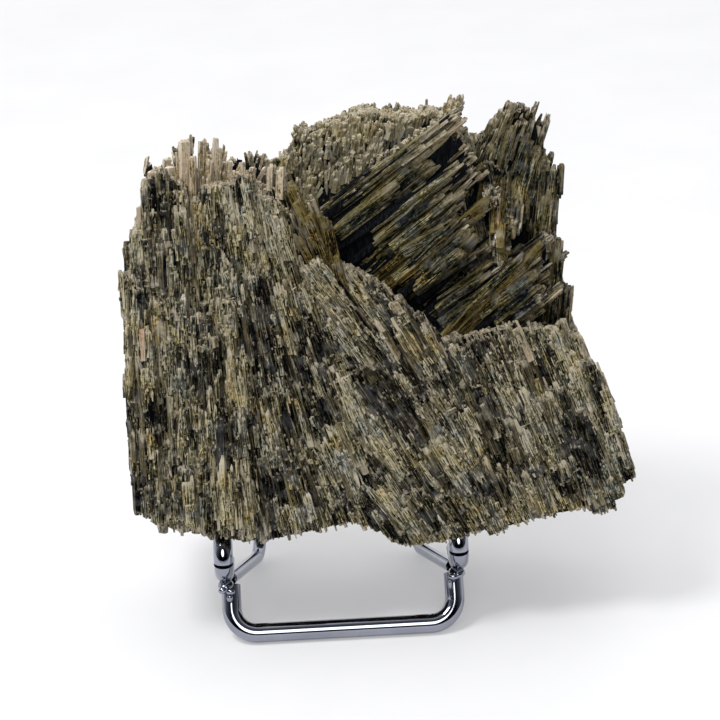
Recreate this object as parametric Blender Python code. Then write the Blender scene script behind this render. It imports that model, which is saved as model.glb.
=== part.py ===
"""An epidote specimen resting on a bent wire stand.

The specimen is one piece of natural crystal, 83 mm wide.  Its sheaves of long
blades grew through each other: a left slab with upright fibres, a diagonal
band, a lower right slab, and a recess at the upper right that long blades
cross.  It leans back on a chair of thick wire.  A second thick wire makes the
front foot, and a thinner one makes the two rear feet.

The frame: +X runs right along the front foot, +Y back, +Z up, and the origin
is on the table under the middle of the front foot.  The specimen is described
in its own frame, in millimetres: u to the right, v back from its front face,
and w up along the face.
"""
import math
import random

import bmesh
import bpy
from mathutils import Matrix, Vector

MM = 0.001
SEED = 7
GAP = 0.3                       # clearance between pieces that touch

# ---- the stand
THICK = 1.6                     # radius of the 1/8 inch wire
THIN = 1.1                      # radius of the rear leg's wire
ROUND = 4                       # bevel resolution: 12 sides
FACET = math.radians(15)        # half a side's turn, so that a flat side faces down
FOOT_HALF = 18.4                # front foot: centre line to centre line, halved
FOOT_END = (5.0, 8.0)           # where its arms end: y, z
FOOT_BEND = 4.2
FOOT_FLAT = 13.0                # half the length of its flat, level stretch
CHAIR_HALF = 19.3               # chair wire, halved
CHAIR_BEND = 3.2                # the hairpin at the front of the seat
HAIRPIN_FRONT = 2.8             # y of its front
HAIRPIN_LOW = 10.6              # z of its lower run
TAIL_END = (10.6, 9.7)          # where the lower run ends: y, z
BACK_BEND = 4.0
TOP_BEND = 6.0
BACKREST_TOP = 38.0             # w of the chair's top bar
LEG_START = (18.5, 9.4, 6.9)    # rear leg: weld under the chair's tail
LEG_FOOT = (13.6, 29.0)         # x, y of the bend that stands on the table
LEG_BEND = 3.0

# ---- how the specimen sits
RECLINE = math.radians(12)      # its face leans back
FACE_FOOT = (0, 1, 17)          # world place of u = v = w = 0
THICKNESS = 28.2                # front face to back
SEAT_LEVEL = 2.5                # w of the underside behind its front lip
LIP = 1.3                       # depth of the lip that hangs in front
WELD = 0.000001                 # metres: shorter edges are dissolved
FLAT = math.radians(0.5)        # flatter edges are dissolved
FLATNESS = 0.8                  # thickness of a free blade over its width
FACE_BLADE = 3.2                # front-to-back size of a blade that lies on a face
BURIED = 1.0                    # how deep its middle lies
RELIEF = (-0.5, 1.3)            # how far one stands out more than another
GOLDEN = 0.618                  # spreads the blades evenly over a face

STONE_FRAME = Matrix.Translation(Vector(FACE_FOOT)) @ Matrix.Rotation(-RECLINE, 4, "X")

# ---- colours
MOSS = (0.085, 0.082, 0.036)
CHROME = (0.72, 0.73, 0.76)


def material(name, colour, roughness, metallic):
    """A plain Principled finish."""
    finish = bpy.data.materials.new(name)
    finish.use_nodes = True
    shader = finish.node_tree.nodes["Principled BSDF"]
    shader.inputs["Base Color"].default_value = (*colour, 1)
    shader.inputs["Roughness"].default_value = roughness
    shader.inputs["Metallic"].default_value = metallic
    return finish


def stone_point(u, v, w):
    """World millimetres of a point given in the specimen's frame."""
    return STONE_FRAME @ Vector((u, v, w))


def add_object(name, mesh, finish):
    """Put a mesh in the scene as one named sub-part."""
    thing = bpy.data.objects.new(name, mesh)
    bpy.context.collection.objects.link(thing)
    mesh.materials.append(finish)
    return thing


# ---------------------------------------------------------------- the stand


def rounded(corners, bends, step=math.radians(18)):
    """The corners of a bent wire joined by straight runs and round bends."""
    points = [Vector(corners[0])]
    for before, corner, after, bend in zip(corners, corners[1:], corners[2:], bends):
        corner = Vector(corner)
        to_before = (Vector(before) - corner).normalized()
        to_after = (Vector(after) - corner).normalized()
        turn = math.pi - to_before.angle(to_after)
        start = corner + to_before * bend * math.tan(turn / 2)
        inward = (to_before + to_after).normalized()
        centre = corner + inward * bend / math.cos(turn / 2)
        arm = start - centre
        axis = arm.cross(-to_before).normalized()
        count = max(2, math.ceil(turn / step))
        for index in range(count + 1):
            points.append(centre + Matrix.Rotation(turn * index / count, 3, axis) @ arm)
    points.append(Vector(corners[-1]))
    return points


def wire(name, points, radius, finish):
    """A round wire along a path, as a curve with a bevel and filled ends."""
    curve = bpy.data.curves.new(name, "CURVE")
    curve.dimensions = "3D"
    curve.twist_mode = "Z_UP"
    curve.bevel_depth = radius * MM
    curve.bevel_resolution = ROUND
    curve.use_fill_caps = True
    curve.materials.append(finish)
    spline = curve.splines.new("POLY")
    spline.points.add(len(points) - 1)
    for knot, place in zip(spline.points, points):
        knot.co = (*(place * MM), 1)
        knot.tilt = FACET
    thing = bpy.data.objects.new(name, curve)
    bpy.context.collection.objects.link(thing)
    return thing


def front_foot(chrome):
    """A U of thick wire: its bar lies on the table, its arms lean back to the chair."""
    rest = THICK * math.cos(FACET)
    corners = [
        (-FOOT_HALF, *FOOT_END),
        (-FOOT_HALF, 0, rest),
        (FOOT_HALF, 0, rest),
        (FOOT_HALF, *FOOT_END),
    ]
    path = rounded(corners, (FOOT_BEND, FOOT_BEND))
    middle = len(path) // 2
    path[middle:middle] = [Vector((-FOOT_FLAT, 0, rest)), Vector((FOOT_FLAT, 0, rest))]
    return wire("front_foot", path, THICK, chrome)


def chair(chrome):
    """The thick wire that carries the specimen: two seat arms and a backrest."""
    seat = SEAT_LEVEL - GAP - THICK
    behind = THICKNESS + GAP + THICK
    slope = math.tan(RECLINE)
    start = stone_point(0, 0, seat)
    hairpin_top = start.z - (HAIRPIN_FRONT - start.y) * slope
    half = [
        (CHAIR_HALF, *TAIL_END),
        (CHAIR_HALF, HAIRPIN_FRONT, HAIRPIN_LOW),
        (CHAIR_HALF, HAIRPIN_FRONT, hairpin_top),
        stone_point(CHAIR_HALF, behind, seat),
        stone_point(CHAIR_HALF, behind, BACKREST_TOP),
    ]
    other_half = [(-x, y, z) for x, y, z in reversed(half)]
    bends = (CHAIR_BEND, CHAIR_BEND, BACK_BEND, TOP_BEND)
    return wire("chair_wire", rounded(half + other_half, bends + bends[::-1]), THICK, chrome)


def rear_leg(chrome):
    """The thin wire: from each hairpin back to the table, up, and across the back."""
    behind = THICKNESS + GAP + THICK
    top = stone_point(LEG_FOOT[0], behind, BACKREST_TOP - THICK - THIN - GAP)
    foot_z = THIN
    for _ in range(6):
        half = [LEG_START, (*LEG_FOOT, foot_z), tuple(top)]
        other_half = [(-x, y, z) for x, y, z in reversed(half)]
        path = rounded(half + other_half, (LEG_BEND, TOP_BEND, TOP_BEND, LEG_BEND))
        foot_z += THIN - min(place.z for place in path)
    return wire("rear_leg", path, THIN, chrome)


# ------------------------------------------------------------- the specimen

# Outlines of the front, (u, w) going round, and the lean of the fibres in
# degrees: how far their lower ends swing to the right, from one u to another.
FRONT_FACES = {
    "left slab": {
        "outline": [
            (-33.8, 9.5), (-32.6, 6.2), (-25.6, 3.2), (-15.6, 0.9), (-7.4, 1.7),
            (0, 3.1), (4, 4.2), (6, 16), (3, 30), (-3, 44), (-7, 52), (-9, 58),
            (-13, 60.5), (-18, 60), (-21, 53), (-30.6, 52), (-32.4, 33),
        ],
        "lean": ((-18, 0), (0, 19)),
        "level": 0.3,
        "count": 34,
    },
    "left tower": {
        "outline": [(-29.2, 48), (-21.5, 48), (-22, 60.6), (-25.5, 61.6), (-28.4, 59.6)],
        "lean": ((-30, 0), (-20, 2)),
        "level": 0.2,
        "count": 4,
    },
    "diagonal band": {
        "outline": [
            (-4.5, 46), (3, 45), (9, 42), (14, 32), (20, 18), (24.4, 0.8),
            (17, 0.2), (11.2, 0.0), (8.8, 0.8), (6.6, 3.4), (2, 18), (-1, 34),
        ],
        "lean": ((-2, 34), (20, 27)),
        "level": -0.9,
        "count": 22,
    },
    "right slab": {
        "outline": [
            (9, 41.5), (14, 36), (18, 33), (27, 33.4), (35, 34.4), (40.4, 31),
            (43.2, 22.8), (45.5, 16.6), (46.8, 10.2), (45.8, 6), (43.3, 3.7),
            (36.7, 3.0), (24.4, 0.9), (19, 18), (12, 32),
        ],
        "lean": ((10, 26), (42, 17)),
        "level": 0.2,
        "count": 28,
    },
}

# The rough back, seen through the same frame.
BACK_FACE = {
    "outline": [
        (-32, 10), (-25, 5), (40, 5), (45, 12), (40, 31), (36, 52), (30, 62),
        (8, 65), (-8, 60), (-28, 60),
    ],
    "lean": ((-30, -6), (44, 30)),
    "level": 26.6,
    "count": 18,
}

# Solid masses that the blades grow from: outline, front depth, back depth, and
# how much the back outline shrinks.
MASSES = (
    (
        [
            (-33.1, 9.8), (-32.4, 7), (-29.6, 4.8), (-25.6, 3.4), (-20.8, 2.5),
            (-15.6, 1.2), (-12.3, 1.1), (-7.4, 1.9), (0, 3.2), (6, 4.6), (7, 24),
            (0, 44), (-7, 55), (-13, 59), (-19, 58.6), (-21.6, 53), (-22.4, 59.6),
            (-28.0, 58.8), (-29, 53), (-30.8, 51.4), (-32, 33),
        ],
        1.0, 26.4, 0.97,
    ),
    (
        [
            (0, 4), (5.7, 2.3), (8.8, -0.2), (11.2, -0.9), (17, -0.4), (24.4, 1.0),
            (36.7, 3.3), (42.8, 4.2), (45, 6.2), (46, 10.4), (44.6, 17), (42.4, 23),
            (40, 31), (35, 33.4), (18, 32.2), (9, 40.8), (3, 44.4), (-4, 45),
        ],
        0.8, 26.8, 0.97,
    ),
    (
        [(-7, 40), (12, 28), (38, 28), (38, 40), (35.4, 48), (31, 54), (22, 57), (6, 58), (-7, 57)],
        11.5, 26.2, 0.97,
    ),
    (
        [
            (-9.5, 48), (24, 49), (24, 62.3), (21, 65.0), (18, 66.6), (12.6, 66.2),
            (7.3, 67.0), (3.6, 65.8), (-2.8, 63.6), (-4.8, 60.2), (-9, 57),
        ],
        13.5, 25.8, 1.0,
    ),
    (
        [(22, 50), (35.8, 45), (36.6, 55), (35, 61), (32.6, 64.6), (30, 65), (27, 62), (23.6, 61)],
        13.5, 22.0, 0.95,
    ),
)

# Sheaves that lean forward out of the recess: outline, where the blades start
# and end (u, v, w), and thickness.
SHEAVES = {
    "upper fan": (
        [
            (-1.3, 51.0), (1.9, 55.1), (6.5, 58.7), (13.6, 62.7), (19.0, 66.0),
            (21.0, 66.4), (22.2, 64.5), (23.0, 62.4), (22.0, 59.0), (17.7, 53.6),
            (13.6, 49.8), (10.0, 46.1), (6.9, 43.0), (3.4, 43.4), (0.4, 47.2),
        ],
        (3.0, 10.0, 47.5), (22.0, 4.0, 63.7), 5.5,
    ),
    "middle fan": (
        [
            (6.5, 42.4), (12.0, 45.9), (17.1, 49.9), (21.6, 52.0), (23.2, 51.0),
            (22.4, 48.8), (19.5, 46.2), (15.9, 43.4), (13.3, 40.2), (10.5, 38.3),
            (8.0, 40.0),
        ],
        (9.8, 9.5, 40.6), (23.0, 5.0, 50.4), 5.0,
    ),
    "lower fan": (
        [
            (13.6, 33.9), (17.1, 37.6), (21.7, 40.2), (27.8, 43.6), (32.8, 46.4),
            (35.8, 47.2), (36.6, 44.4), (37.4, 40.5), (36.4, 36.0), (32.5, 32.6),
            (26.5, 31.5), (20.4, 30.5), (15.3, 30.9),
        ],
        (17.4, 7.0, 33.0), (36.3, 3.6, 46.9), 6.0,
    ),
    "peak": (
        [
            (23.6, 53.6), (25.1, 59.0), (27.9, 63.8), (30.5, 67.4), (32.9, 67.8),
            (34.8, 65.4), (35.2, 62.4), (34.4, 58.0), (32.8, 55.8), (30.6, 56.2),
            (27.8, 53.2), (24.9, 52.0),
        ],
        (24.8, 13.0, 53.1), (32.9, 7.5, 67.7), 6.5,
    ),
    "right flank": (
        [
            (33.2, 44.0), (33.6, 53.2), (34.4, 57.2), (35.6, 58.6), (36.4, 56.6),
            (36.2, 53.0), (36.0, 49.3), (36.4, 46.6), (37.0, 42.6), (36.8, 38.0),
            (34.0, 38.0),
        ],
        (34.7, 11.0, 39.7), (37.3, 9.0, 59.2), 7.0,
    ),
}

# The large free crystals: root, tip and width of each, (u, v, w).
CRYSTALS = {
    "upper fan": (
        ((-1.0, 10.5, 51.0), (21.5, 3.0, 68.0), 2.2),
        ((-0.5, 10.5, 49.0), (22.5, 5.0, 65.5), 1.8),
        ((1.5, 10.5, 46.5), (23.5, 3.0, 61.0), 2.3),
        ((4.0, 10.5, 44.0), (23.5, 3.5, 59.5), 1.7),
        ((3.5, 11.5, 47.5), (21.5, 7.0, 62.0), 1.8),
        ((7.5, 10.0, 43.0), (23.0, 4.5, 56.5), 1.2),
        ((10.0, 10.0, 44.0), (24.0, 5.5, 58.0), 1.0),
    ),
    "middle fan": (
        ((9.5, 9.5, 40.5), (27.5, 4.0, 55.0), 2.1),
        ((11.5, 8.5, 38.0), (23.5, 4.5, 50.0), 1.7),
        ((14.5, 9.0, 37.5), (29.0, 6.5, 49.0), 2.0),
    ),
    "lower fan": (
        ((15.5, 8.0, 34.0), (31.0, 4.5, 45.5), 2.0),
        ((18.0, 7.0, 32.0), (33.5, 3.0, 45.0), 2.0),
        ((20.0, 6.0, 31.5), (35.5, 2.6, 47.5), 2.1),
        ((22.5, 5.5, 31.5), (36.5, 3.5, 44.0), 1.8),
        ((25.5, 5.5, 31.5), (36.5, 3.0, 40.0), 1.6),
        ((28.5, 5.0, 31.5), (35.0, 2.6, 38.0), 1.6),
    ),
    "right edge": (
        ((35.5, 6.0, 32.0), (37.0, 3.5, 46.0), 1.6),
        ((38.0, 6.0, 30.5), (38.5, 5.0, 39.0), 1.4),
        ((38.4, 9.0, 29.0), (38.9, 8.0, 34.0), 1.4),
    ),
    "peak": (
        ((29.0, 12.0, 53.0), (25.5, 5.0, 58.5), 1.4),
        ((31.0, 12.0, 56.5), (25.5, 6.0, 59.5), 1.3),
        ((27.0, 13.0, 54.5), (32.0, 7.0, 66.0), 1.5),
        ((29.0, 13.0, 53.0), (34.0, 7.5, 68.0), 1.8),
        ((25.5, 14.0, 61.0), (31.5, 9.0, 68.5), 1.8),
        ((32.0, 13.0, 52.0), (36.0, 9.5, 65.5), 1.9),
        ((34.5, 13.0, 48.5), (36.5, 9.0, 59.5), 1.8),
        ((36.0, 14.0, 46.5), (38.0, 12.0, 57.5), 1.7),
        ((37.0, 16.0, 45.5), (38.5, 17.0, 54.5), 1.7),
    ),
    "hanging": (
        ((29.5, 12.0, 57.5), (27.5, 3.5, 47.5), 2.4),
        ((29.5, 12.0, 52.0), (28.5, 3.0, 44.5), 1.4),
        ((32.5, 12.5, 56.5), (31.0, 5.0, 50.0), 1.4),
    ),
    "notch": (
        ((0.5, 4.0, 40.5), (-3.5, 0.8, 55.0), 2.5),
        ((1.5, 4.5, 41.0), (-1.5, 1.0, 52.5), 1.8),
        ((2.5, 4.5, 41.0), (0.0, 1.5, 48.5), 1.5),
        ((-1.0, 6.0, 43.0), (-4.5, 3.0, 53.5), 1.5),
        ((-3.5, 8.0, 45.0), (-6.5, 5.0, 57.5), 1.6),
        ((-5.5, 7.0, 48.0), (-7.5, 5.5, 57.5), 1.5),
    ),
}

# Bundles of smaller blades: the roots and the tips of the first and last blade,
# with the number of blades, their width and their jitter.
BUNDLES = {
    "right flank": ((34.6, 16, 44), (35.8, 14, 54.6), (34.6, 22, 44), (35.6, 20, 52), 3, 1.8, 0.5),
    "peak, behind": ((28, 17, 54), (33.0, 15, 66.4), (34, 17, 50), (36.4, 16, 60.0), 4, 2.2, 0.8),
    "left crystals": ((-23.4, 12, 57), (-22.4, 12, 65.0), (-11, 13, 55), (-9.4, 13, 61.2), 13, 1.2, 0.8),
    "left crystals, behind": ((-27.4, 15, 55), (-27.6, 15, 61.4), (-10, 19, 55), (-8.4, 19, 60.4), 8, 1.5, 0.8),
    "crown, front": ((-7, 13.8, 56), (-5.6, 11.6, 62.0), (12, 14.2, 60), (13.6, 11.6, 67.0), 12, 1.5, 0.8),
    "crown, low": ((-6, 13.6, 52), (-5.0, 11.6, 57.6), (8, 13.8, 57), (9.6, 11.4, 62.4), 10, 1.4, 0.8),
    "crown, middle": ((-4.6, 18.5, 58), (-3.8, 18, 65.0), (22, 18.5, 62), (22.6, 18, 68.0), 12, 1.5, 0.9),
    "crown, back": ((-3, 23.5, 58), (-2.4, 23.4, 65.4), (22, 23, 61), (22.4, 23, 68.0), 12, 1.5, 0.9),
}

# The sides and the underside: blades that lie along the edge of the mass.
EDGE_BUNDLES = {
    "left side, low": ((-32.0, 3, 10), (-31.8, 3, 32), (-31.0, 24, 9), (-30.8, 24, 30), 4, 3.0, 0.8),
    "left side, high": ((-31.0, 3, 28), (-30.0, 3, 51.0), (-29.8, 24, 28), (-29.2, 24, 50), 4, 2.8, 0.8),
    "left side, top": ((-27.6, 3, 46), (-27.2, 3, 60.4), (-27.0, 23, 44), (-26.8, 23, 59), 3, 2.4, 0.6),
    "right side, low": ((45.0, 3, 8), (42.4, 3, 24), (43.6, 24, 8), (41.0, 24, 24), 4, 2.8, 0.8),
    "right side, high": ((42.2, 4, 20), (39.4, 4, 31.6), (41.0, 24, 20), (38.0, 24, 32), 3, 2.6, 0.8),
    "right side, back": ((37.6, 14, 30), (36.6, 14, 44), (37.2, 25, 30), (36.0, 25, 44), 3, 2.6, 0.8),
}


def mass(outline, front, back, shrink):
    """One solid lump: the outline at the front joined to a smaller one behind."""
    middle = Vector((sum(u for u, _ in outline), sum(w for _, w in outline))) / len(outline)
    body = bmesh.new()
    loops = []
    for depth, scale in ((front, 1.0), (back, shrink)):
        ring = []
        for u, w in outline:
            spot = middle + (Vector((u, w)) - middle) * scale
            ring.append(body.verts.new((spot.x, depth, spot.y)))
        body.faces.new(ring)
        loops.extend([body.edges.get((a, b)) for a, b in zip(ring, ring[1:] + ring[:1])])
    bmesh.ops.bridge_loops(body, edges=loops)
    bmesh.ops.recalc_face_normals(body, faces=body.faces)
    return body


def sheaf(outline, root, tip, thickness):
    """A slab whose front leans forward from where its blades start to their tips."""
    root, tip = Vector(root), Vector(tip)
    run = Vector((tip.x - root.x, tip.z - root.z))
    fronts = []
    for u, w in outline:
        part = Vector((u - root.x, w - root.z)).dot(run) / run.length_squared
        fronts.append(Vector((u, root.y + (tip.y - root.y) * part, w)))
    body = bmesh.new()
    near = [body.verts.new(place) for place in fronts]
    far = [body.verts.new(place + Vector((0, thickness, 0))) for place in fronts]
    body.faces.new(near)
    body.faces.new(far)
    for index in range(len(outline)):
        after = (index + 1) % len(outline)
        body.faces.new((near[index], near[after], far[after], far[index]))
    bmesh.ops.recalc_face_normals(body, faces=body.faces)
    return body


def crystal(root, tip, width, depth, dice, sides=6):
    """One blade: a flattened prism from root to tip that ends in a chisel or a break."""
    run = tip - root
    body = bmesh.new()
    prism = bmesh.ops.create_cone(
        body, cap_ends=True, segments=sides, radius1=0.5, radius2=0.5, depth=run.length
    )
    turn = math.pi / sides
    bmesh.ops.rotate(body, verts=prism["verts"], matrix=Matrix.Rotation(turn, 3, "Z"))
    across = run.cross(Vector((0, 1, 0))).normalized()
    outward = across.cross(run).normalized()
    roll = Matrix.Rotation(math.radians(dice.uniform(-14, 14)), 3, run.normalized())
    frame = Matrix((across, outward, run.normalized())).transposed()
    top = [vert for vert in body.verts if vert.co.z > 0]
    chisel = dice.uniform(0.3, 0.9) * width
    skew = dice.uniform(-0.6, 0.6) * width
    for vert in top:
        vert.co.z += skew * vert.co.x - chisel * 2 * abs(vert.co.y)
    for vert in body.verts:
        end = vert.co.z / run.length
        narrow = 1 - 0.24 * max(0.0, end)
        local = Vector((vert.co.x * width * narrow, vert.co.y * depth * narrow, vert.co.z))
        vert.co = roll @ frame @ local + (root + tip) / 2
    bmesh.ops.recalc_face_normals(body, faces=body.faces)
    return body


def inside(u, w, outline):
    """True where a point lies inside an outline."""
    crossings = 0
    for (u1, w1), (u2, w2) in zip(outline, outline[1:] + outline[:1]):
        if (w1 > w) != (w2 > w) and u < u1 + (w - w1) * (u2 - u1) / (w2 - w1):
            crossings += 1
    return crossings % 2 == 1


def lean_at(face, u):
    """The lean of the fibres at u, in radians."""
    (u1, lean1), (u2, lean2) = face["lean"]
    share = min(1.0, max(0.0, (u - u1) / (u2 - u1)))
    return math.radians(lean1 + share * (lean2 - lean1))


def reach(u, w, step, limit, outline):
    """How far a blade runs from a point before it leaves the outline."""
    length = 0.0
    while length < limit and inside(u + step[0] * length, w + step[1] * length, outline):
        length += 0.5
    return length


def face_blades(face, outward, dice):
    """Long blades lying on a face of the specimen, side by side along the fibres."""
    outline = face["outline"]
    left = min(u for u, _ in outline)
    right = max(u for u, _ in outline)
    low = min(w for _, w in outline)
    high = max(w for _, w in outline)
    blades = []
    for attempt in range(face["count"] * 3):
        if len(blades) == face["count"]:
            break
        u = left + (right - left) * ((attempt * GOLDEN) % 1)
        w = dice.uniform(low, high)
        if not inside(u, w, outline):
            continue
        lean = lean_at(face, u)
        down = (math.sin(lean), -math.cos(lean))
        fall = reach(u, w, down, dice.uniform(5, 13), outline)
        rise = reach(u, w, (-down[0], -down[1]), dice.uniform(5, 13), outline)
        if fall + rise < 6:
            continue
        depth = face["level"] + outward * (dice.uniform(*RELIEF) - BURIED)
        low_end = Vector((u + down[0] * fall, depth, w + down[1] * fall))
        high_end = Vector((u - down[0] * rise, depth, w - down[1] * rise))
        if dice.random() < 0.5:
            low_end, high_end = high_end, low_end
        width = dice.uniform(2.6, 4.6)
        blades.append(crystal(low_end, high_end, width, FACE_BLADE, dice, sides=4))
    return blades


def bundle_blades(bundle, dice):
    """Blades spread evenly from the first to the last of a bundle, with jitter."""
    first_root, first_tip, last_root, last_tip, count, width, jitter = bundle
    blades = []
    for index in range(count):
        share = index / (count - 1)
        root = Vector(first_root).lerp(Vector(last_root), share)
        tip = Vector(first_tip).lerp(Vector(last_tip), share)
        shift = Vector((dice.uniform(-1, 1), dice.uniform(-1, 1), dice.uniform(-1, 1))) * jitter
        tip += shift
        root += shift * 0.5
        tip = root + (tip - root) * dice.uniform(0.82, 1.0)
        size = width * dice.uniform(0.8, 1.3)
        blades.append(crystal(root, tip, size, size * FLATNESS, dice))
    return blades


def box(low, high):
    """A block between two corners in the specimen's frame."""
    body = bmesh.new()
    bmesh.ops.create_cube(body, size=1)
    for vert in body.verts:
        for axis in range(3):
            vert.co[axis] = low[axis] if vert.co[axis] < 0 else high[axis]
    return body


def cutter(name, body, matrix):
    """A hidden helper object for a Boolean."""
    mesh = bpy.data.meshes.new(name)
    bmesh.ops.triangulate(body, faces=body.faces)
    bmesh.ops.transform(body, matrix=matrix, verts=body.verts)
    body.to_mesh(mesh)
    body.free()
    helper = bpy.data.objects.new(name, mesh)
    bpy.context.collection.objects.link(helper)
    helper.hide_render = True
    helper.display_type = "WIRE"
    return helper


def apply_boolean(thing, helper, operation):
    """Apply one Boolean and keep its result as the thing's mesh."""
    step = thing.modifiers.new("join", "BOOLEAN")
    step.object = helper
    step.operation = operation
    step.solver = "EXACT"
    graph = bpy.context.evaluated_depsgraph_get()
    result = bpy.data.meshes.new_from_object(thing.evaluated_get(graph))
    thing.modifiers.clear()
    thing.data = result
    bpy.data.objects.remove(helper)


def keep_outer_body(mesh):
    """Drop the closed pockets that crossing blades leave inside the solid."""
    body = bmesh.new()
    body.from_mesh(mesh)
    body.verts.ensure_lookup_table()
    seen = set()
    shells = []
    for start in body.verts:
        if start in seen:
            continue
        stack = [start]
        seen.add(start)
        shell = []
        while stack:
            vert = stack.pop()
            shell.append(vert)
            for edge in vert.link_edges:
                other = edge.other_vert(vert)
                if other not in seen:
                    seen.add(other)
                    stack.append(other)
        shells.append(shell)
    shells.sort(key=len)
    for shell in shells[:-1]:
        bmesh.ops.delete(body, geom=shell, context="VERTS")
    bmesh.ops.dissolve_degenerate(body, edges=body.edges, dist=WELD)
    bmesh.ops.dissolve_limit(body, angle_limit=FLAT, verts=body.verts, edges=body.edges)
    bmesh.ops.triangulate(body, faces=body.faces)
    body.to_mesh(mesh)
    body.free()
    return len(shells) - 1


def specimen(finish):
    """The crystals, fused into one solid."""
    dice = random.Random(SEED)
    bodies = [mass(*shape) for shape in MASSES]
    for face in FRONT_FACES.values():
        bodies.extend(face_blades(face, -1, dice))
    bodies.extend(face_blades(BACK_FACE, 1, dice))
    bodies.extend(sheaf(*shape) for shape in SHEAVES.values())
    for group in CRYSTALS.values():
        for root, tip, width in group:
            bodies.append(crystal(Vector(root), Vector(tip), width, width * FLATNESS, dice))
    for bundle in (*BUNDLES.values(), *EDGE_BUNDLES.values()):
        bodies.extend(bundle_blades(bundle, dice))

    place = STONE_FRAME
    first = bodies.pop(0)
    mesh = bpy.data.meshes.new("epidote")
    bmesh.ops.triangulate(first, faces=first.faces)
    bmesh.ops.transform(first, matrix=place, verts=first.verts)
    first.to_mesh(mesh)
    first.free()
    stone = add_object("epidote", mesh, finish)
    for number, body in enumerate(bodies):
        apply_boolean(stone, cutter(f"grown_{number}", body, place), "UNION")
    seat = cutter("seat_cut", box((-60, LIP, -20), (60, 60, SEAT_LEVEL)), place)
    apply_boolean(stone, seat, "DIFFERENCE")
    back = cutter("back_cut", box((-60, THICKNESS, -20), (60, 60, 90)), place)
    apply_boolean(stone, back, "DIFFERENCE")
    stone.data.transform(Matrix.Scale(MM, 4))
    dropped = keep_outer_body(stone.data)
    print("specimen:", len(bodies) + 1, "blades and masses,", dropped, "pockets dropped")
    return stone


def main():
    for thing in list(bpy.data.objects):
        bpy.data.objects.remove(thing)
    chrome = material("chrome", CHROME, 0.08, 1.0)
    front_foot(chrome)
    chair(chrome)
    rear_leg(chrome)
    specimen(material("epidote", MOSS, 0.45, 0.0))


main()
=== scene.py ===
# %% [markdown]
# # An epidote specimen on its wire stand
# The specimen is a slab of dark green crystals, 82 mm wide, and the stand is three
# bent wires.  The solids come packed, and they stay where they are.  This lesson
# gives them their finish, and covers the crystal solid with thousands of thin
# blades, because real epidote breaks into fibres that no solid could hold.

# %% Load the solids
import math

import bpy
import numpy as np
from mathutils import Matrix, Vector
from mathutils.bvhtree import BVHTree


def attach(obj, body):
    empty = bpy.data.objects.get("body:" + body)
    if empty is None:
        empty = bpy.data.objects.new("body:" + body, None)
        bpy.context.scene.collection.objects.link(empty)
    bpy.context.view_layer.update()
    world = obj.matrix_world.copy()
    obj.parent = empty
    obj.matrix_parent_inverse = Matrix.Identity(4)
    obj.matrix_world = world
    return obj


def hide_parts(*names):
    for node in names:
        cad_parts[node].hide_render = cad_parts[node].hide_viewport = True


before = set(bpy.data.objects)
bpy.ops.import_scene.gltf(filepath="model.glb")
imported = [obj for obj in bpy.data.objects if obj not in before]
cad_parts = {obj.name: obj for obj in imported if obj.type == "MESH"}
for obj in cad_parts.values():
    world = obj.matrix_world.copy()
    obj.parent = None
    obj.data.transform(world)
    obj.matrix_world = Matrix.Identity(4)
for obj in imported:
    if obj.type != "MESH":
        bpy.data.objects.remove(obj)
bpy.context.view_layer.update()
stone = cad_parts["epidote"]
print("solids:", sorted(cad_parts))

# %% [markdown]
# The specimen leans back on its stand, so it gets a frame of its own: u runs to the
# right, v back from its front face, and w up along the face, all in millimetres.
# Everything below is placed in that frame and turned to the world's at the end.

# %% The specimen's frame
MM = 0.001
RECLINE = math.radians(12)
FACE_FOOT = (0, 1, 17)
STONE_FRAME = Matrix.Translation(Vector(FACE_FOOT)) @ Matrix.Rotation(-RECLINE, 4, "X")
TO_WORLD = np.array(Matrix.Scale(MM, 4) @ STONE_FRAME)
TO_STONE = np.linalg.inv(TO_WORLD)


def moved(points, matrix):
    """Points, one to a row, turned and shifted by a 4 by 4 matrix."""
    return points @ matrix[:3, :3].T + matrix[:3, 3]


def new_object(name, data):
    """An object in the scene that shows this data."""
    thing = bpy.data.objects.new(name, data)
    bpy.context.scene.collection.objects.link(thing)
    return thing


print("the specimen leans back by", round(math.degrees(RECLINE)), "degrees")

# %% [markdown]
# The camera stands a little above the specimen and almost straight in front.  A
# long lens from 45 cm away keeps the wires nearly parallel.

# %% Camera
CAMERA_TURN = math.radians(-1.5)
CAMERA_RISE = math.radians(24)
CAMERA_ROLL = math.radians(2.4)
CAMERA_AIM = Vector((4.6, 10.4, 45.0)) * MM
CAMERA_DISTANCE = 450 * MM
LENS = 139.2                    # focal length and sensor width, mm
SENSOR = 36


def add_camera():
    data = bpy.data.cameras.new("camera")
    data.lens = LENS
    data.sensor_width = SENSOR
    data.clip_start = 10 * MM
    camera = new_object("camera", data)
    back = Vector((
        math.sin(CAMERA_TURN) * math.cos(CAMERA_RISE),
        -math.cos(CAMERA_TURN) * math.cos(CAMERA_RISE),
        math.sin(CAMERA_RISE),
    ))
    camera.location = CAMERA_AIM + back * CAMERA_DISTANCE
    upright = back.to_track_quat("Z", "Y").to_matrix()
    roll = Matrix.Rotation(-CAMERA_ROLL, 3, back)
    camera.rotation_euler = (roll @ upright).to_euler()
    bpy.context.scene.camera = camera
    print("camera at", camera.location)


add_camera()

# %% [markdown]
# Fibres and crystals differ from one another, so a few node groups make what their
# finishes share.  *Streaks* turns a position into long thin lines, for the striae
# that run along every epidote crystal.

# %% Node helpers


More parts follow.
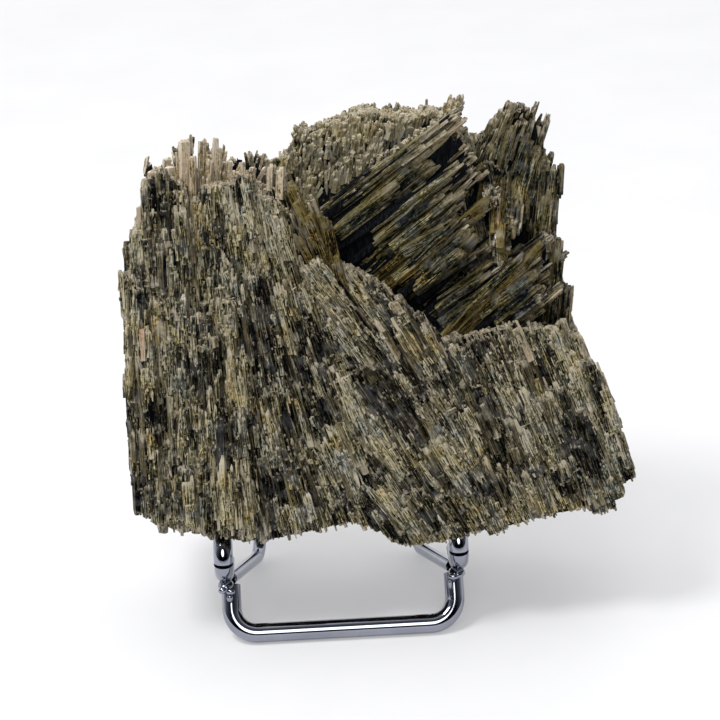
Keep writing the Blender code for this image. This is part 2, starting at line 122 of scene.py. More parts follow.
def group(name, inputs, outputs):
    """A new node group with named number and vector inputs and outputs."""
    tree = bpy.data.node_groups.new(name, "ShaderNodeTree")
    for title, kind, value in inputs:
        socket = tree.interface.new_socket(title, in_out="INPUT", socket_type=kind)
        if value is not None:
            socket.default_value = value
    for title, kind in outputs:
        tree.interface.new_socket(title, in_out="OUTPUT", socket_type=kind)
    start = tree.nodes.new("NodeGroupInput")
    end = tree.nodes.new("NodeGroupOutput")
    return tree, start, end


def add_node(tree, kind, **settings):
    node = tree.nodes.new(kind)
    for key, value in settings.items():
        setattr(node, key, value)
    return node


def ramp(tree, source, stops):
    """A colour ramp through (position, grey or colour) stops."""
    node = tree.nodes.new("ShaderNodeValToRGB")
    band = node.color_ramp
    while len(band.elements) < len(stops):
        band.elements.new(0.5)
    for element, (position, colour) in zip(band.elements, stops):
        element.position = position
        element.color = (*colour, 1) if isinstance(colour, tuple) else (colour,) * 3 + (1,)
    tree.links.new(source, node.inputs["Fac"])
    return node.outputs["Color"]


def feed(tree, node, values):
    """Link each of a node's inputs to a socket, or set it to a number or a colour."""
    for title, value in values.items():
        if isinstance(value, bpy.types.NodeSocket):
            tree.links.new(value, node.inputs[title])
        else:
            colour = isinstance(value, tuple)
            node.inputs[title].default_value = (*value, 1) if colour else value


def mix(tree, factor, first, second, blend="MIX"):
    """Mix two colours; each may be a socket or a colour."""
    node = add_node(tree, "ShaderNodeMix", data_type="RGBA", blend_type=blend)
    feed(tree, node, {0: factor, 6: first, 7: second})
    return node.outputs[2]


def maths(tree, operation, first, second=0.0):
    node = add_node(tree, "ShaderNodeMath", operation=operation)
    feed(tree, node, {0: first, 1: second})
    return node.outputs[0]


def noise(tree, vector, scale, detail=3.0, roughness=0.55):
    node = tree.nodes.new("ShaderNodeTexNoise")
    values = {"Vector": vector, "Scale": scale, "Detail": detail, "Roughness": roughness}
    feed(tree, node, values)
    return node.outputs[0]


def scaled(tree, vector, factors):
    node = add_node(tree, "ShaderNodeVectorMath", operation="MULTIPLY")
    node.inputs[1].default_value = factors
    tree.links.new(vector, node.inputs[0])
    return node.outputs[0]


def sway(tree, level, value, amount):
    """Raise or lower a level by how far a 0 to 1 value is from its middle."""
    centred = maths(tree, "SUBTRACT", value, 0.5)
    return maths(tree, "ADD", level, maths(tree, "MULTIPLY", centred, amount))


FINE_STREAKS = (7.5, 7.5, 0.40)         # to a millimetre, across and along
BROAD_STREAKS = (1.7, 1.7, 0.16)


def streaks_group():
    """Lines along the third axis of a position given in millimetres."""
    tree, start, end = group(
        "streaks",
        [("Position", "NodeSocketVector", None)],
        [("Fine", "NodeSocketFloat"), ("Broad", "NodeSocketFloat")],
    )
    fine = noise(tree, scaled(tree, start.outputs[0], FINE_STREAKS), 1.0, 2.0)
    broad = noise(tree, scaled(tree, start.outputs[0], BROAD_STREAKS), 1.0, 3.0)
    feed(tree, end, {"Fine": fine, "Broad": broad})
    return tree


STREAKS = streaks_group()
print("node group:", STREAKS.name, "with", len(STREAKS.nodes), "nodes")

# %% [markdown]
# Every finish starts the same way, and most end with a bump.

# %% Helpers for finishes


def new_finish(name):
    """A new material, its tree, its shader and the place on the object."""
    finish = bpy.data.materials.new(name)
    finish.use_nodes = True
    tree = finish.node_tree
    place = tree.nodes.new("ShaderNodeTexCoord").outputs["Object"]
    return finish, tree, tree.nodes["Principled BSDF"], place


def add_bump(tree, shader, height, strength, distance):
    """Bump the shader's normal by a height; the distance is in millimetres."""
    bump = tree.nodes.new("ShaderNodeBump")
    feed(tree, bump, {"Strength": strength, "Distance": distance * MM, "Height": height})
    tree.links.new(bump.outputs["Normal"], shader.inputs["Normal"])


def attribute(tree, name, output="Fac"):
    return add_node(tree, "ShaderNodeAttribute", attribute_name=name).outputs[output]


# %% [markdown]
# Soft studio light.  Two suns light the paper evenly, and a panel at the upper left
# makes the glints.  Glossy stone and chrome show what is around them, so the room
# matters too: dark in front, where a viewer stands, and pale above and behind.

# %% Light
SUNS = (
    # name, where it comes from, watts, softness in degrees, seen in reflections
    ("key_sun", (-0.08, -0.10, 1.0), 0.85, 75, False),
    ("front_sun", (-0.06, -1.00, 0.70), 1.0, 30, True),
)
PANEL = ("glint_panel", (-0.22, -0.10, 0.50), 0.14, 1.6)    # name, place, size, watts
LIGHT_AIM = Vector((0, 0.01, 0.045))


def add_light(name, kind, place):
    """A light at a place, turned to the middle of the specimen."""
    lamp = new_object(name, bpy.data.lights.new(name, kind))
    lamp.location = place
    aim = LIGHT_AIM - Vector(place)
    lamp.rotation_euler = aim.to_track_quat("-Z", "Y").to_euler()
    return lamp


def add_lights():
    for name, place, watts, softness, glossy in SUNS:
        lamp = add_light(name, "SUN", place)
        lamp.data.energy = watts
        lamp.data.angle = math.radians(softness)
        lamp.visible_glossy = glossy
    name, place, size, watts = PANEL
    lamp = add_light(name, "AREA", place)
    lamp.data.size = size
    lamp.data.energy = watts


add_lights()

# %% [markdown]
# The room is a gradient on the direction of view: one ramp by height and one by
# how far in front, multiplied together.

# %% The room
ROOM_BY_HEIGHT = ((0.0, 0.30), (0.47, 0.45), (0.56, 0.62), (1.0, 1.0))
ROOM_BY_FRONT = (
    # 0 in front to 1 behind, colour
    (0.14, (0.004, 0.004, 0.006)),
    (0.38, (0.16, 0.165, 0.18)),
    (0.60, (1.0, 1.0, 1.01)),
)
ROOM_STRENGTH = 1.25


def add_world():
    world = bpy.data.worlds.new("room")
    bpy.context.scene.world = world
    world.use_nodes = True
    tree = world.node_tree
    where = tree.nodes.new("ShaderNodeTexCoord").outputs["Generated"]
    split = tree.nodes.new("ShaderNodeSeparateXYZ")
    tree.links.new(where, split.inputs[0])
    shares = []
    for axis, stops in (("Z", ROOM_BY_HEIGHT), ("Y", ROOM_BY_FRONT)):
        half = maths(tree, "MULTIPLY", split.outputs[axis], 0.5)
        shares.append(ramp(tree, maths(tree, "ADD", half, 0.5), stops))
    colour = mix(tree, 1.0, shares[0], shares[1], "MULTIPLY")
    feed(tree, tree.nodes["Background"], {"Color": colour, "Strength": ROOM_STRENGTH})


add_world()
print("room:", bpy.context.scene.world.name, "at", ROOM_STRENGTH)

# %% [markdown]
# The floor is a wide sheet of white paper.  It glows a little, which is painted light
# that keeps the shadows on it pale.  In front, just out of view, it fades to grey,
# painted shade, so that the chrome has something darker to reflect.

# %% Floor
FLOOR_SIZE = 5                  # metres
PAPER = ((0.3, (0.52, 0.52, 0.53)), (0.7, (0.54, 0.54, 0.545)))
# painted light: the paper glows, which fills the shadows on the floor
PAINTED_FILL_GLOW = 0.53
# painted shade: the paper darkens in front, out of view, for the chrome to reflect
FRONT_SHADE_FADE = ((0.45, 0.42), (0.80, 1.0))
FADE_RATE = 4.0                 # the fade runs from 0 to 1 over 1/4 metre


def add_floor():
    bpy.ops.mesh.primitive_plane_add(size=FLOOR_SIZE, location=(0, 0, 0))
    floor = bpy.context.object
    floor.name = "floor"
    finish, tree, shader, place = new_finish("floor_paper")
    paper = ramp(tree, noise(tree, place, 30.0), PAPER)
    split = tree.nodes.new("ShaderNodeSeparateXYZ")
    tree.links.new(place, split.inputs[0])
    far = maths(tree, "MULTIPLY", split.outputs["Y"], FADE_RATE)
    front_shade = ramp(tree, maths(tree, "ADD", far, 1.0), FRONT_SHADE_FADE)
    feed(tree, shader, {
        "Base Color": mix(tree, 1.0, paper, front_shade, "MULTIPLY"), "Roughness": 0.7,
        "Emission Color": paper, "Emission Strength": PAINTED_FILL_GLOW,
    })
    floor.data.materials.append(finish)


add_floor()
bpy.context.scene.view_settings.view_transform = "Standard"
print("floor:", FLOOR_SIZE, "m wide")

# %% [markdown]
# The colours of epidote.  Fresh faces are glassy and nearly black.  Thin edges let
# light through and look olive, and broken ends are cream.

# %% Colours
BLACK = (0.0012, 0.0015, 0.0022)
SLATE = (0.010, 0.012, 0.016)
OLIVE = (0.040, 0.039, 0.017)
MOSS = (0.105, 0.096, 0.046)
TAN = (0.23, 0.190, 0.110)
CREAM = (0.46, 0.405, 0.295)
AMBER = (0.15, 0.122, 0.045)
PINK = (0.46, 0.33, 0.27)
GLASS = (0.62, 0.55, 0.45)
HUES = (
    # the stone is bluer here and more olive there
    (0.36, (0.74, 0.88, 1.15)),
    (0.47, (0.95, 0.99, 1.0)),
    (0.55, (1.0, 1.0, 0.85)),
    (0.66, (1.20, 1.02, 0.62)),
)
WARM = ((0.40, (1.0, 0.95, 0.86)), (0.60, (1.06, 0.95, 0.82)))
print("colours run from", BLACK, "to", CREAM)

# %% [markdown]
# Each blade brings facts of its own as attributes: *grain*, its millimetres with the
# third along the blade, *tone*, a number of its own, *along*, from 0 at the root to
# 1 at the tip, and *across*, from -1 at its left edge to 1 at its right.  The last
# two say where light catches it.

# %% Bright edges and ends


def edges_group():
    """Where light catches a blade: along its thin edges and at its broken end."""
    tree, start, end = group(
        "edges",
        [("Across", "NodeSocketFloat", 0.0), ("Along", "NodeSocketFloat", 0.0),
         ("Wear", "NodeSocketFloat", 0.5)],
        [("Edge", "NodeSocketFloat"), ("End", "NodeSocketFloat")],
    )
    ragged = maths(tree, "MULTIPLY", maths(tree, "SUBTRACT", start.outputs["Wear"], 0.5), 0.7)
    side = maths(tree, "ADD", maths(tree, "ABSOLUTE", start.outputs["Across"]), ragged)
    tip = maths(tree, "ADD", start.outputs["Along"], maths(tree, "MULTIPLY", ragged, 0.5))
    feed(tree, end, {
        "Edge": ramp(tree, side, [(0.70, 0.0), (1.0, 1.0)]),
        "End": ramp(tree, tip, [(0.86, 0.0), (1.0, 1.0)]),
    })
    return tree


EDGES = edges_group()
print("node group:", EDGES.name, "with", len(EDGES.nodes), "nodes")

# %% [markdown]
# One level from dark to light picks the colour.  It starts from the blade's tone;
# streaks, patches and a fine mottle sway it, the mottle partly painted glints.  Small
# places shine, as on a broken surface.

# %% Blade finish
PATCHES, MOTTLE_AND_GLINTS, HUE_SPOTS, SHINE = 80.0, 2200.0, 170.0, 400.0   # to a metre
SHINE_STOPS = ((0.50, 0.02), (0.66, 0.85))
STONE_IOR = 1.6


def blade_material(name, stops, shift=0.0, edge=(0.5, TAN), end=(0.7, CREAM),
                   roughness=0.3, fine=1.9, hues=HUES):
    """A finish for blades: its ramp, how light it is, its edges and its ends."""
    finish, tree, shader, place = new_finish(name)
    lines = add_node(tree, "ShaderNodeGroup", node_tree=STREAKS)
    tree.links.new(attribute(tree, "grain", "Vector"), lines.inputs["Position"])
    edges = add_node(tree, "ShaderNodeGroup", node_tree=EDGES)
    feed(tree, edges, {
        "Across": attribute(tree, "across"), "Along": attribute(tree, "along"),
        "Wear": lines.outputs["Broad"],
    })

    level = maths(tree, "MULTIPLY", attribute(tree, "tone"), 0.80)
    level = maths(tree, "ADD", level, 0.10 + shift)
    for value, amount in (
        (lines.outputs["Fine"], fine),
        (lines.outputs["Broad"], 0.7),
        (noise(tree, place, PATCHES, 2.0), 0.9),
        # fine mottle, partly painted glints
        (noise(tree, place, MOTTLE_AND_GLINTS, 2.0), 1.2),
    ):
        level = sway(tree, level, value, amount)
    colour = ramp(tree, level, stops)
    hue = ramp(tree, noise(tree, place, HUE_SPOTS, 4.0, 0.65), hues)
    colour = mix(tree, 1.0, colour, hue, "MULTIPLY")
    for output, (amount, tint) in (("Edge", edge), ("End", end)):
        bright = maths(tree, "ADD", maths(tree, "MULTIPLY", level, amount), 0.4 * amount)
        share = maths(tree, "MULTIPLY", edges.outputs[output], bright)
        colour = mix(tree, share, colour, tint)
    stops = ((0.25, roughness - 0.10), (0.75, roughness + 0.25))
    feed(tree, shader, {
        "Base Color": colour, "Roughness": ramp(tree, lines.outputs["Broad"], stops),
        "Specular IOR Level": ramp(tree, noise(tree, place, SHINE, 3.0), SHINE_STOPS),
        "IOR": STONE_IOR,
    })
    add_bump(tree, shader, lines.outputs["Fine"], 0.7, 0.12)
    return finish


# %% [markdown]
# Six finishes come from that one recipe.

# %% The six finishes
SLAB = blade_material(
    "slab_blades",
    [(0.20, BLACK), (0.34, SLATE), (0.46, OLIVE), (0.60, MOSS), (0.73, TAN), (0.86, CREAM)],
    shift=-0.20, edge=(0.6, TAN), end=(0.9, CREAM), fine=2.8,
)
FAN = blade_material(
    "fan_blades",
    [(0.20, BLACK), (0.36, SLATE), (0.50, OLIVE), (0.68, MOSS), (0.86, TAN), (1.0, CREAM)],
    shift=0.08, edge=(0.5, AMBER), end=(0.6, TAN), fine=2.6,
)
POINTS = blade_material(
    "crown_points",
    [(0.05, SLATE), (0.20, OLIVE), (0.36, MOSS), (0.60, TAN), (1.0, CREAM)],
    shift=0.21,
)
AMBERY = blade_material(
    "amber_crystals",
    [(0.25, BLACK), (0.42, (0.035, 0.025, 0.007)), (0.68, AMBER), (0.95, (0.27, 0.19, 0.08))],
    shift=-0.04, edge=(0.5, AMBER), end=(0.6, AMBER), fine=2.4, hues=WARM,
)
CLEAR = blade_material(
    "clear_points",
    [(0.05, OLIVE), (0.22, MOSS), (0.45, TAN), (0.85, GLASS)],
    shift=0.12, edge=(0.5, GLASS), end=(0.5, GLASS), roughness=0.16, hues=WARM,
)
BROKEN = blade_material(
    "broken_bits",
    [(0.05, SLATE), (0.30, OLIVE), (0.55, TAN), (0.95, PINK)],
    edge=(0.5, CREAM), end=(0.6, CREAM), hues=WARM,
)
FINISHES = (SLAB, FAN, POINTS, AMBERY, CLEAR, BROKEN)
print("blade finishes:", [finish.name for finish in FINISHES])

# %% [markdown]
# The solid under the blades only shows in the gaps, where little light reaches.  Its
# near-black is the stone's own dark colour, deepened as painted shade for the gaps.

# %% Core finish


def core_material():
    finish, tree, shader, place = new_finish("epidote_core")
    lines = add_node(tree, "ShaderNodeGroup", node_tree=STREAKS)
    tree.links.new(scaled(tree, place, (1 / MM,) * 3), lines.inputs["Position"])
    # near black: the stone's own colour, deepened as painted shade in the gaps
    stops = ((0.45, BLACK), (0.60, SLATE), (0.76, (0.035, 0.037, 0.036)))
    feed(tree, shader, {
        "Base Color": ramp(tree, lines.outputs["Fine"], stops), "Specular IOR Level": 0.06,
        "Roughness": ramp(tree, lines.outputs["Broad"], [(0.2, 0.45), (0.8, 0.8)]),
    })
    add_bump(tree, shader, lines.outputs["Fine"], 1.0, 0.2)
    return finish


stone.data.materials.clear()
stone.data.materials.append(core_material())
print("core finish:", stone.data.materials[0].name)

# %% [markdown]
# The stand is bright chrome plate on wire.  Plate isn't perfect: it is slightly
# cloudy here and there, and a little rippled.

# %% Chrome


def chrome_material():
    finish, tree, shader, place = new_finish("chrome_plate")
    clouds = noise(tree, place, 220.0, 4.0)
    stops = ((0.3, (0.27, 0.285, 0.34)), (0.7, (0.33, 0.345, 0.40)))
    feed(tree, shader, {
        "Base Color": ramp(tree, clouds, stops), "Metallic": 1.0,
        "Roughness": ramp(tree, clouds, [(0.35, 0.04), (0.75, 0.12)]),
    })
    add_bump(tree, shader, noise(tree, place, 700.0, 2.0), 0.06, 0.05)
    return finish


CHROME = chrome_material()
print("wire finish:", CHROME.name)

# %% [markdown]
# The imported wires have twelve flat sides, and chrome shows every one.  So each wire
# is made again on the same path with a finely rounded bevel: a curve through the
# corners of the bend, turned into a mesh.

# %% Smooth wires
THICK = 1.6                     # radii of the wires, mm
THIN = 1.1


def stone_point(u, v, w):
    return STONE_FRAME @ Vector((u, v, w))


def rounded(corners, bends, step=math.radians(5)):
    """The corners of a bent wire joined by straight runs and round bends."""
    points = [Vector(corners[0])]
    for before, corner, after, bend in zip(corners, corners[1:], corners[2:], bends):
        corner = Vector(corner)
        to_before = (Vector(before) - corner).normalized()
        to_after = (Vector(after) - corner).normalized()
        turn = math.pi - to_before.angle(to_after)
        start = corner + to_before * bend * math.tan(turn / 2)
        centre = corner + (to_before + to_after).normalized() * bend / math.cos(turn / 2)
        arm = start - centre
        axis = arm.cross(-to_before).normalized()
        count = max(3, math.ceil(turn / step))
        for index in range(count + 1):
            points.append(centre + Matrix.Rotation(turn * index / count, 3, axis) @ arm)
    points.append(Vector(corners[-1]))
    return points


def smooth_wire(name, node, half, bends, radius):
    """A wire that is its own mirror image, given by the corners of its right half."""
    other_half = [(-x, y, z) for x, y, z in reversed(half)]
    path = rounded(half + other_half, bends + bends[::-1])
    curve = bpy.data.curves.new(name, "CURVE")
    curve.dimensions = "3D"
    curve.bevel_depth = radius * MM
    curve.bevel_resolution = 10
    curve.use_fill_caps = True
    spline = curve.splines.new("POLY")
    spline.points.add(len(path) - 1)
    for knot, place in zip(spline.points, path):
        knot.co = (*(place * MM), 1)
    piece = new_object(name, curve)
    bpy.ops.object.select_all(action="DESELECT")
    piece.select_set(True)
    bpy.context.view_layer.objects.active = piece
    bpy.ops.object.convert(target="MESH")
    piece = bpy.context.object
    bpy.ops.object.mode_set(mode="EDIT")
    bpy.ops.mesh.select_all(action="SELECT")
    bpy.ops.mesh.remove_doubles(threshold=0.000001)
    bpy.ops.mesh.normals_make_consistent(inside=False)
    bpy.ops.object.mode_set(mode="OBJECT")
    bpy.ops.object.shade_smooth_by_angle(angle=math.radians(40))
    piece.data.materials.append(CHROME)
    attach(piece, "root")
    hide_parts(node)
    print(name, len(piece.data.polygons), "faces")


# %% [markdown]
# Each wire takes the corners of its right half and the radius of every bend.  Seat
# and backrest follow the specimen's lean, just clear of it.

# %% The three wires
GAP = 0.3                       # between a wire and the specimen
SEAT = 2.5 - GAP - THICK        # w of the seat, v of the backrest, w of its top
BEHIND = 28.2 + GAP + THICK
BACKREST_TOP = 38.0
FACET = math.radians(15)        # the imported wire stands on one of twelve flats
FOOT, CHAIR = 18.4, 19.3        # half their widths
HAIRPIN = 2.8                   # y of its front
HEEL = (13.6, 29.0)             # x, y


def add_wires():
    foot = [(FOOT, 5.0, 8.0), (FOOT, 0, THICK * math.cos(FACET))]
    smooth_wire("front_foot_wire", "front_foot", foot, (4.2,), THICK)
    start = stone_point(0, 0, SEAT)
    hairpin_top = start.z - (HAIRPIN - start.y) * math.tan(RECLINE)
    chair = [
        (CHAIR, 10.6, 9.7), (CHAIR, HAIRPIN, 10.6), (CHAIR, HAIRPIN, hairpin_top),
        tuple(stone_point(CHAIR, BEHIND, SEAT)), tuple(stone_point(CHAIR, BEHIND, BACKREST_TOP)),
    ]
    smooth_wire("chair_wires", "chair_wire", chair, (3.2, 3.2, 4.0, 6.0), THICK)
    leg_top = stone_point(HEEL[0], BEHIND, BACKREST_TOP - THICK - THIN - GAP)
    leg = [(18.5, 9.4, 6.9), (*HEEL, THIN - 0.35), tuple(leg_top)]
    smooth_wire("rear_leg_wire", "rear_leg", leg, (3.0, 6.0), THIN)


add_wires()

# %% [markdown]
# The wires are welded where they meet.  A weld leaves a lumpy bead, so a few balls
# are sunk into each joint and pulled out of round.

# %% Weld beads
BEADS = (
    # place (mm), radius, stretch
    ((-19.7, 1.5, 9.0), 0.75, (1.0, 0.8, 0.8)),
    ((-18.4, 1.9, 8.4), 0.62, (1.2, 0.7, 0.9)),
    ((-18.6, 1.5, 7.4), 0.60, (0.9, 0.6, 1.1)),
    ((-19.2, 3.6, 8.9), 1.35, (1.0, 1.1, 0.55)),
    ((18.2, 1.9, 9.0), 0.70, (1.3, 0.7, 0.8)),
    ((17.6, 1.9, 7.6), 0.50, (0.7, 0.7, 1.9)),
    ((18.9, 3.6, 8.9), 1.45, (1.0, 1.1, 0.6)),
    ((17.4, 0.9, 5.6), 0.34, (0.8, 0.7, 1.5)),
    ((-18.9, 9.4, 8.3), 1.0, (0.9, 1.2, 0.5)),
    ((18.9, 9.4, 8.3), 1.0, (0.9, 1.2, 0.5)),
)


def add_beads():
    balls = []
    for place, radius, stretch in BEADS:
        bpy.ops.mesh.primitive_ico_sphere_add(subdivisions=3, radius=radius * MM,
                                              location=Vector(place) * MM)
        bpy.ops.object.mode_set(mode="EDIT")
        bpy.ops.transform.resize(value=stretch, center_override=Vector(place) * MM)
        bpy.ops.mesh.vertices_smooth(factor=0.5)
        bpy.ops.object.mode_set(mode="OBJECT")
        balls.append(bpy.context.object)
    bpy.ops.object.select_all(action="DESELECT")
    for ball in balls:
        ball.select_set(True)
    bpy.context.view_layer.objects.active = balls[0]
    bpy.ops.object.join()
    beads = bpy.context.object
    beads.name = "weld_beads"
    bpy.ops.object.transform_apply(location=True, rotation=True, scale=True)
    bpy.ops.object.shade_smooth()
    beads.data.materials.append(CHROME)
    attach(beads, "root")
    print("weld beads:", len(balls))


add_beads()

# %% [markdown]
# How the fibres run.  Each region of the front has an outline, and a lean: how many
# degrees the lower ends of its fibres swing to the right, from one u to another.
# The sheaves of the recess are given by the root and tip of their first and last
# blade, as (u, v, w).

# %% The run of the fibres
FRONT_FACES = (
    # outline, (u, lean) at its left, (u, lean) at its right
    ([(-36, 0), (4, 0), (4, 4.2), (6, 16), (3, 30), (-3, 44), (-7, 52), (-9, 64), (-36, 66)],
     (-18, 0), (0, 19)),
    ([(-4.5, 46), (3, 45), (9, 42), (14, 32), (20, 18), (24.5, -2), (9, -2), (4, 4),
      (2, 18), (-1, 34)],
     (-2, 34), (20, 27)),
    ([(9, 41.5), (14, 36), (18, 33), (35, 34.4), (40.6, 31.6), (50, 10), (46, 0), (24, 0),
      (19, 18), (12, 32)],
     (10, 26), (42, 17)),
)
SHEAVES = {
    "upper fan": ((-1, 10.5, 51.0), (21.5, 3.0, 67.5), (7, 10.5, 43.5), (23.5, 4.0, 58.5)),
    "middle fan": ((8, 9.5, 42.5), (22.5, 4.5, 54.0), (13, 9, 38.0), (24.5, 5.0, 47.5)),
    "lower fan": ((15, 7.5, 34.5), (33.0, 4.0, 47.5), (27, 5, 31.0), (37.5, 3.0, 39.0)),
    "hanging": ((29.5, 12, 57.5), (27.5, 3.5, 46.0), (32.5, 12, 56.5), (31.0, 5.0, 50.0)),
    "right edge": ((35.5, 6, 31), (37.0, 3.5, 46.0), (38.4, 9, 29), (39.2, 8.0, 35.0)),
    "right flank": ((34.7, 10, 40), (36.2, 9.0, 59.0), (35, 22, 44), (36.4, 20.0, 54)),
    "peak": ((25.5, 13, 53), (31.5, 7.5, 68.4), (33, 12, 48), (36.5, 9.5, 61.0)),
    "peak, back": ((27, 17, 54), (32.8, 15, 66.4), (34, 17, 50), (36.4, 16, 60.0)),
    "notch": ((0.6, 3.6, 41), (-3.8, 0.8, 55.2), (2.4, 4, 40.5), (0.6, 0.9, 48.4)),
    "notch, back": ((-4, 6, 48), (-6.2, 4.0, 58.2), (-1, 7, 47), (-1.6, 6, 56.4)),
}
print(len(FRONT_FACES), "faces and", len(SHEAVES), "sheaves")

# %% [markdown]
# Between the first and the last blade of a sheaf, the others fan out evenly.

# %% Lines through the sheaves
ROD = 1.9                       # the width of one rod of a sheaf


def inside(u, w, outline):
    """True where a point lies inside an outline."""
    crossings = 0
    for (u1, w1), (u2, w2) in zip(outline, outline[1:] + outline[:1]):
        if (w1 > w) != (w2 > w) and u < u1 + (w - w1) * (u2 - u1) / (w2 - w1):
            crossings += 1
    return crossings % 2 == 1


def sheaf_lines():
    """Straight lines through every sheaf, one to a rod, as starts and runs."""
    starts, runs, names = [], [], []
    for name, corners in SHEAVES.items():
        first_root, first_tip, last_root, last_tip = np.array(corners, dtype=float)
        wide = math.dist(first_tip, last_tip)
        for share in np.linspace(0, 1, max(2, round(wide / ROD))):
            root = first_root * (1 - share) + last_root * share
            tip = first_tip * (1 - share) + last_tip * share
            names.append(name)
            starts.append(root)
            runs.append(tip - root)
    return np.array(starts), np.array(runs), names


LINE_STARTS, LINE_RUNS, LINE_NAMES = sheaf_lines()
LINE_LENGTHS = np.linalg.norm(LINE_RUNS, axis=1)
print("lines in the sheaves:", len(LINE_NAMES))

# %% [markdown]
# Any place then has a run: that of the rod it is near, or the lean of its face.

# %% Looking up a run
FACE_DEPTH = 4.5                # what has a smaller v is on the front
AT_ROD, NEAR_ROD = 1.2, 3.5     # nearer than this, a place belongs to a rod
CROWN = (26, 8, 51)             # left of this u, and behind and above this v and w
TUFT_EDGE = -9                  # left of this u, the crown is a tuft of clear points


def leaning(u, left, right):
    """The run of fibres that lean by an amount blended from left to right."""
    share = min(1.0, max(0.0, (u - left[0]) / (right[0] - left[0])))
    lean = math.radians(left[1] + share * (right[1] - left[1]))
    return np.array((-math.sin(lean), 0.0, math.cos(lean)))


def fibre_run(place):
    """The unit run of the fibres at a place, the region's name, and the nearest rod."""
    u, v, w = place
    offset = np.array(place) - LINE_STARTS
    share = np.clip((offset * LINE_RUNS).sum(1) / LINE_LENGTHS ** 2, 0, 1)
    gaps = np.linalg.norm(offset - LINE_RUNS * share[:, None], axis=1)
    nearest = int(gaps.argmin())
    if v < FACE_DEPTH:
        for outline, left, right in FRONT_FACES:
            if inside(u, w, outline) and gaps[nearest] > AT_ROD:
                return leaning(u, left, right), "slab", None
    if gaps[nearest] < NEAR_ROD:
        return LINE_RUNS[nearest] / LINE_LENGTHS[nearest], LINE_NAMES[nearest], nearest
    region = "slab"
    if u < CROWN[0] and v > CROWN[1] and w > CROWN[2]:
        region = "tuft" if u < TUFT_EDGE else "crown"
    return leaning(u, (-25, 0), (40, 14)), region, None


print("a run in the crown:", fibre_run((8, 15, 65))[0].round(2))

# %% [markdown]
# One blade, five ways.  Each master is a unit block, 1 wide, 1 thick and 1 long,
# whose top is pulled into a chisel, a slanted break or steps.  Modelling a few and
# placing copies of them is how any natural scatter is made.

# %% Master blades


def start_block(name):
    bpy.ops.mesh.primitive_cube_add(size=1, location=(0, 0, 0.5))
    block = bpy.context.object
    block.name = name
    bpy.ops.object.transform_apply(location=True, rotation=True, scale=True)
    bpy.ops.object.mode_set(mode="EDIT")
    bpy.ops.mesh.select_mode(type="FACE")
    return block


def select_faces(block, wanted):
    """In edit mode, select the faces whose centre and normal pass a test."""
    bpy.ops.mesh.select_all(action="DESELECT")
    bpy.ops.object.mode_set(mode="OBJECT")
    for polygon in block.data.polygons:
        polygon.select = wanted(polygon.center, polygon.normal)
    bpy.ops.object.mode_set(mode="EDIT")


def is_top(centre, normal):
    return normal.z > 0.5


def cap(shift, shrink):
    """Pull the selected faces out, and shrink the end of what was pulled."""
    bpy.ops.mesh.extrude_region_move(TRANSFORM_OT_translate={"value": shift})
    bpy.ops.transform.resize(value=shrink)


def finish_block(block):
    """Leave edit mode and read the shape as arrays; the master itself is removed."""
    bpy.ops.mesh.select_all(action="SELECT")
    bpy.ops.mesh.quads_convert_to_tris()
    bpy.ops.mesh.normals_make_consistent(inside=False)
    bpy.ops.object.mode_set(mode="OBJECT")
    mesh = block.data
    points = np.empty(len(mesh.vertices) * 3)
    mesh.vertices.foreach_get("co", points)
    corners = np.empty(len(mesh.loops), dtype=np.int32)
    mesh.loops.foreach_get("vertex_index", corners)
    bpy.data.objects.remove(block)
    return points.reshape(-1, 3), corners.reshape(-1, 3)


def capped_blade(name, taper, shift, shrink):
    """A block whose whole top is tapered, and then pulled into one cap."""
    block = start_block(name)
    select_faces(block, is_top)
    bpy.ops.transform.resize(value=taper)
    cap(shift, shrink)
    return finish_block(block)


def split_block(block, at):
    """Cut the block lengthwise, so that its two halves can end apart."""
    bpy.ops.mesh.select_all(action="SELECT")
    bpy.ops.mesh.bisect(plane_co=(at, 0, 0), plane_no=(1, 0, 0))


def stepped_blade():
    block = start_block("stepped")
    split_block(block, 0.1)
    select_faces(block, lambda centre, normal: is_top(centre, normal) and centre.x < 0.1)
    cap((0, 0, 0.22), (0.8, 0.75, 1))
    return finish_block(block)


def ridged_blade():
    """A ridge along its front, as of two crystals grown side by side."""
    block = start_block("ridged")
    split_block(block, -0.15)
    select_faces(block, lambda centre, normal: normal.y < -0.5 and centre.x < 0)
    bpy.ops.transform.translate(value=(0.0, -0.22, 0))
    select_faces(block, lambda centre, normal: is_top(centre, normal) and centre.x > -0.1)
    cap((0, 0, 0.12), (0.7, 0.6, 1))
    return finish_block(block)


MASTERS = [
    capped_blade("chisel", (1, 1, 1), (0.06, 0, 0.16), (0.45, 0.1, 1)),
    capped_blade("slanted", (0.85, 0.7, 1), (-0.32, 0, 0.10), (0.3, 0.8, 1)),
    stepped_blade(),
    ridged_blade(),
    capped_blade("broken", (0.92, 0.85, 1), (0.1, 0.1, 0.04), (0.6, 0.7, 1)),
]
print("master blades:", [len(faces) for _, faces in MASTERS], "triangles each")

# %% [markdown]
# A patch of blades is one mesh, joined from arrays: every blade is a master,
# stretched to its width, thickness and length and turned into its place.  The sums
# are done for all blades of one master together, which is what arrays are for.

# %% Joining blades into a mesh


